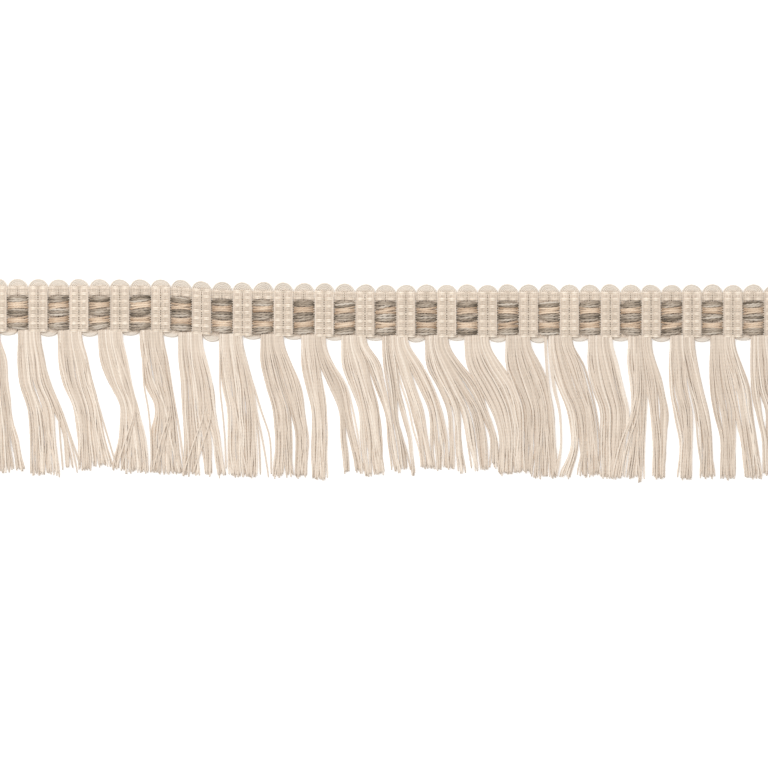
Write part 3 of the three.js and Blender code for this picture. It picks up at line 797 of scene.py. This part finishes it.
def add_binders(yarns, x, between, rng):
    """Binder pairs. Those in the selvedge show as beads over the blocks too."""
    place = from_block(x)
    from_pair = np.abs(np.abs(place) - PAIR)
    column = np.round((x + HALF_LENGTH) / (REPEAT / 4)).astype(int)
    columns = 4 * REPEATS + 1
    bridge = bump(from_pair, BRIDGE_LENGTH)
    rows = len(ROW_COLOURS)
    lines = [SELVEDGE_BINDER] + [BINDER_SHIFT + n * BINDER_PITCH for n in range(rows + 1)]
    tops = [SELVEDGE_TOP] + rows * [BEAD_TOP] + [LAST_BEAD_TOP]
    for number, (line, top) in enumerate(zip(lines, tops)):
        in_selvedge = number < SELVEDGE_BINDERS
        if number == 1:
            line = line + BLOCK_EDGE_SHIFT * (1 - between)
        rise = rng.uniform(*BEAD_SIZES, columns)[column]
        bead = bump(from_pair - COLUMN_OFFSET, BEAD_LENGTH) * rise
        risen = (top - BEAD_DIP) * bead + BRIDGE_RISE * bridge
        z = UNDER_HEIGHT + between * (BEAD_DIP - UNDER_HEIGHT + risen)
        if in_selvedge:
            over_float = bump(np.abs(place) - FLOAT_OFFSET, BEAD_LENGTH) * rise
            float_rise = (top - FLOAT_BEAD_DROP - BEAD_DIP) * over_float
            z = np.maximum(z, BEAD_DIP - SELVEDGE_DIP + float_rise)
            # shown lightens the binder as a painted highlight, and also widens it and spreads the
            # pair
            shown = np.maximum(bead, FLOAT_BEAD_SHARE * over_float)
        else:
            shown = np.maximum(bead, BRIDGE_SHOWN * bridge)
        shown = np.clip(shown, 0, 1)
        z = smoothed(z)
        for offset in (-BINDER_SPREAD, BINDER_SPREAD):
            path = to_world(x, line + offset * (BINDER_GATHER + (1 - BINDER_GATHER) * shown), z)
            width = BINDER_WIDE * (BINDER_THINNESS + (1 - BINDER_THINNESS) * shown)
            change = rng.uniform(-BINDER_TINT_CHANGE, BINDER_TINT_CHANGE)
            # The tint rises with shown: a painted highlight over beads and bridges
            tint = BINDER_TINT + BEAD_HIGHLIGHT * shown + change
            phase = rng.uniform(0, math.tau)
            yarns.add(path, width, BINDER_HIGH, BINDER_SIDES, tint, phase=phase)


def add_ground(yarns, x, between, rng):
    """Ground pairs, halfway between binders. They pass under the blocks, but for the first, which
    lies in the selvedge."""
    for number in range(-1, len(ROW_COLOURS)):
        line = BINDER_SHIFT + (number + 0.5) * BINDER_PITCH
        in_selvedge = number < 0
        under = SELVEDGE_GROUND if in_selvedge else UNDER_HEIGHT
        top = SELVEDGE_GROUND if in_selvedge else GROUND_TOP
        z = smoothed(under + between * (top - under))
        for offset in (-GROUND_SPREAD, GROUND_SPREAD):
            path = to_world(x, line + offset, z)[::2]
            yarns.add(path, GROUND_WIDE, GROUND_WIDE, GROUND_SIDES, rng.uniform(*GROUND_TINTS))


def binder_yarns(name, rng):
    """Fine cream warp pairs that cross over the columns as beads and run under the blocks."""
    yarns = Yarns()
    x = np.linspace(-HALF_LENGTH, HALF_LENGTH, WARP_STEPS)
    between = smoothstep(*SURFACING, np.abs(from_block(x)))
    add_binders(yarns, x, between, rng)
    add_ground(yarns, x, between, rng)
    return yarns.build(name)


def tuft_top(tuft_x):
    """Y of the heading's lower edge above a tuft."""
    return float(first_row_y(tuft_x + PAIR)) - LOWER_EDGE


def lock_edges(locks, number):
    """The outermost yarns' places in a lock at any depth below the heading. They lie half a yarn
    inside the lock's edge, or on it where the next lock touches."""
    drop, *edges = locks[number]
    before = locks[number - 1][1:] if number > 0 else [(None, None)] * len(edges)
    after = locks[number + 1][1:] if number + 1 < len(locks) else [(None, None)] * len(edges)
    lefts, rights = [], []
    for (left, right), (_, left_side), (right_side, _) in zip(edges, before, after):
        lefts.append(left if left == left_side else left + EDGE_INSET)
        rights.append(right if right == right_side else right - EDGE_INSET)
    depths = (*EDGE_DEPTHS, drop)
    return smooth_curve(depths, lefts), smooth_curve(depths, rights)


def lock_weight(edges):
    """How much of its tuft's yarn a lock takes, from its width at the root and low down."""
    root, low = edges[0], edges[LOW]
    return root[1] - root[0] + LOW_WEIGHT * (low[1] - low[0])


def yarn_path(tuft_x, across, height, drop):
    """A yarn of a tuft, from under the heading's edge to its tip. Across and height say how its
    place and its height go with the depth below the heading."""
    depth = np.linspace(-ROOT_HIDDEN, drop, YARN_STEPS)
    below = np.clip(depth, 0, None)
    return np.stack((tuft_x + across(below), tuft_top(tuft_x) - depth, height(below)), axis=-1)


def lock_yarn(tuft_x, lock_drop, left, right, place, layer, rng):
    """Path of one yarn of a lock. Place is 0 at the lock's left side and 1 at its right. Some
    yarns cross over to another place as they fall."""
    crosses = 0 < place < 1 and rng.random() < CROSSING_SHARE
    end = rng.uniform(0, 1) if crosses else np.clip(place + rng.normal(0, PLACE_CHANGE), 0, 1)
    sway = rng.uniform(*SWAYS)
    period = rng.uniform(*SWAY_PERIODS)
    begin = rng.uniform(0, math.tau)
    fray = rng.normal(0, TIP_FRAY)
    level = layer + rng.uniform(0, LEVEL_SPREAD)
    drop = lock_drop - TIP_SHORTENING + rng.normal(0, TIP_JITTER)

    def across(depth):
        fall = depth / lock_drop
        start = left(depth)
        inside = np.clip(right(depth) - start, 0, None)
        wander = sway * np.sqrt(fall) * np.sin(math.tau * depth / period + begin)
        frayed = fray * smoothstep(*FRAYED_PART, fall)
        return start + (place + (end - place) * fall**CROSSING_POWER) * inside + wander + frayed

    def height(depth):
        return YARN / 2 + level * LAYER_RISE + ROOT_LIFT * np.exp(-depth / ROOT_SETTLE)

    return yarn_path(tuft_x, across, height, drop)


def tuft_piece(tuft, rng):
    """One tuft: its locks' yarns in layers, and the single yarns that leave it."""
    yarns = Yarns()
    tuft_x = (tuft - 1) * REPEAT - HALF_LENGTH
    locks = [row[1:] for row in LOCK_ROWS if row[0] == tuft]
    strays = [row[1:] for row in STRAY_ROWS if row[0] == tuft]
    along = np.linspace(0, 1, YARN_STEPS)
    taper = 1 - TAPER * smoothstep(TAPER_START, 1.0, along)
    wide, high = YARN * taper, YARN_HIGH * taper
    weights = np.array([lock_weight(edges) for _, *edges in locks])
    shares = (YARNS_PER_TUFT - len(strays)) * weights / weights.sum()
    counts = np.maximum(2, np.round(shares)).astype(int)
    for number, count in enumerate(counts):
        left, right = lock_edges(locks, number)
        lanes = math.ceil(count / 2)
        for i in range(count):
            layer, lane = divmod(i, lanes)
            place = (lane + 0.5 * layer) / (lanes - 0.5)
            path = lock_yarn(tuft_x, locks[number][0], left, right, place, layer, rng)
            # Some yarns get a painted highlight, as if they lay on top and caught the light
            tint = rng.uniform(*YARN_TINTS) + YARN_HIGHLIGHT * (rng.random() < HIGHLIT_YARN_SHARE)
            tint = tint + TIP_LIGHTENING * along
            phase = rng.uniform(0, math.tau)
            yarns.add(path, wide, high, YARN_SIDES, tint, TWIST_PITCH, YARN_LOBES, phase)
    for drop, *places in strays:
        course = smooth_curve((*STRAY_DEPTHS, drop), places)
        path = yarn_path(tuft_x, course, lambda depth: np.full_like(depth, STRAY_HEIGHT), drop)
        yarns.add(path, wide, high, YARN_SIDES, rng.uniform(*STRAY_TINTS))
    return yarns.build(f"fringe_{tuft:02d}")


def dress(piece, material):
    """Finish a piece and let it ride with the trim."""
    piece.data.materials.append(material)
    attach(piece, "root")


def build_heading(cream, bead, grey, tan, rng):
    """The woven heading, which stands for its solid."""
    weft = weft_layer("heading_weft", layer=0, sides=6, rng=rng)
    backing = weft_layer("heading_weft_back", layer=1, sides=5, rng=rng)
    binders = binder_yarns("heading_binders", rng)
    grey_rows = [i for i, colour in enumerate(ROW_COLOURS) if colour == "grey"]
    tan_rows = [i for i, colour in enumerate(ROW_COLOURS) if colour == "tan"]
    grey_warps = warp_yarns("heading_grey_warps", grey_rows, GREY_WARP, rng)
    tan_warps = warp_yarns("heading_tan_warps", tan_rows, TAN_WARP, rng)
    dress(weft, cream)
    dress(backing, cream)
    dress(binders, bead)
    dress(grey_warps, grey)
    dress(tan_warps, tan)
    others = (backing, binders, grey_warps, tan_warps)
    for piece in (weft, *others):
        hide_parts("heading")


def build_fringe(cream):
    """The tufts, each of which stands for its solid."""
    for tuft in range(1, REPEATS + 1):
        piece = tuft_piece(tuft, np.random.default_rng(FRINGE_SEED + tuft))
        dress(piece, cream)
        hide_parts(f"tuft_{tuft:02d}")


def build_floor():
    """Plain pale floor under the trim."""
    mesh = bpy.data.meshes.new("floor")
    corners = [(FLOOR_HALF * x, FLOOR_HALF * y, 0) for x, y in ((-1, -1), (1, -1), (1, 1), (-1, 1))]
    mesh.from_pydata(corners, [], [(0, 1, 2, 3)])
    floor = bpy.data.objects.new("floor", mesh)
    bpy.context.collection.objects.link(floor)
    mesh.materials.append(floor_material())


def add_camera():
    """Straight above, with a long lens, framed as the photograph is."""
    camera_data = bpy.data.cameras.new("camera")
    camera_data.sensor_width = SENSOR
    camera_data.lens = SENSOR * CAMERA_DISTANCE / (FRAME_WIDTH * MM)
    camera_data.clip_end = CAMERA_REACH
    camera = bpy.data.objects.new("camera", camera_data)
    camera.location = (FRAME_CENTRE[0] * MM, FRAME_CENTRE[1] * MM, CAMERA_DISTANCE)
    bpy.context.collection.objects.link(camera)
    bpy.context.scene.camera = camera


def add_lights():
    """Even white surroundings and one large soft lamp."""
    world = bpy.data.worlds.new("studio")
    world.use_nodes = True
    background = world.node_tree.nodes["Background"]
    background.inputs["Color"].default_value = WHITE
    background.inputs["Strength"].default_value = SURROUND_STRENGTH
    bpy.context.scene.world = world
    lamp_data = bpy.data.lights.new("softbox", "AREA")
    lamp_data.shape = "RECTANGLE"
    lamp_data.size, lamp_data.size_y = LAMP_SIZE
    lamp_data.energy = LAMP_POWER
    lamp = bpy.data.objects.new("softbox", lamp_data)
    lamp.location = LAMP_PLACE
    lamp.rotation_euler = [math.radians(angle) for angle in LAMP_TILT]
    bpy.context.collection.objects.link(lamp)
    bpy.context.scene.view_settings.view_transform = "Standard"


# Paler, greyer colour painted on thin edge loops, standing for light that shows through them
BACKLIT_EDGE_COLOUR = srgb(236, 229, 218)
CREAM_SHADES = (srgb(214, 198, 181), srgb(231, 215, 198), srgb(245, 232, 217))
# Binder shades, lighter than the cream at their light end for the painted highlight on beads
BINDER_HIGHLIT_SHADES = (srgb(210, 195, 177), srgb(239, 224, 206), srgb(254, 243, 227))
GREY_SHADES = (srgb(104, 91, 76), srgb(174, 158, 140), srgb(216, 204, 189))
TAN_SHADES = (srgb(156, 129, 102), srgb(198, 172, 146), srgb(240, 218, 193))
CREAM = yarn_material("cream_yarn", *CREAM_SHADES, twist_strength=0.5, slant=12, streakiness=0.4)
BINDER_HIGHLIT = yarn_material("binder_highlit_yarn", *BINDER_HIGHLIT_SHADES, twist_strength=0.4, slant=12, streakiness=0.4)
GREY = yarn_material("grey_yarn", *GREY_SHADES, twist_strength=0.9, slant=24, streakiness=1.1)
TAN = yarn_material("tan_yarn", *TAN_SHADES, twist_strength=0.9, slant=16, streakiness=0.9)

build_floor()
build_heading(CREAM, BINDER_HIGHLIT, GREY, TAN, np.random.default_rng(HEADING_SEED))
build_fringe(CREAM)
add_camera()
add_lights()
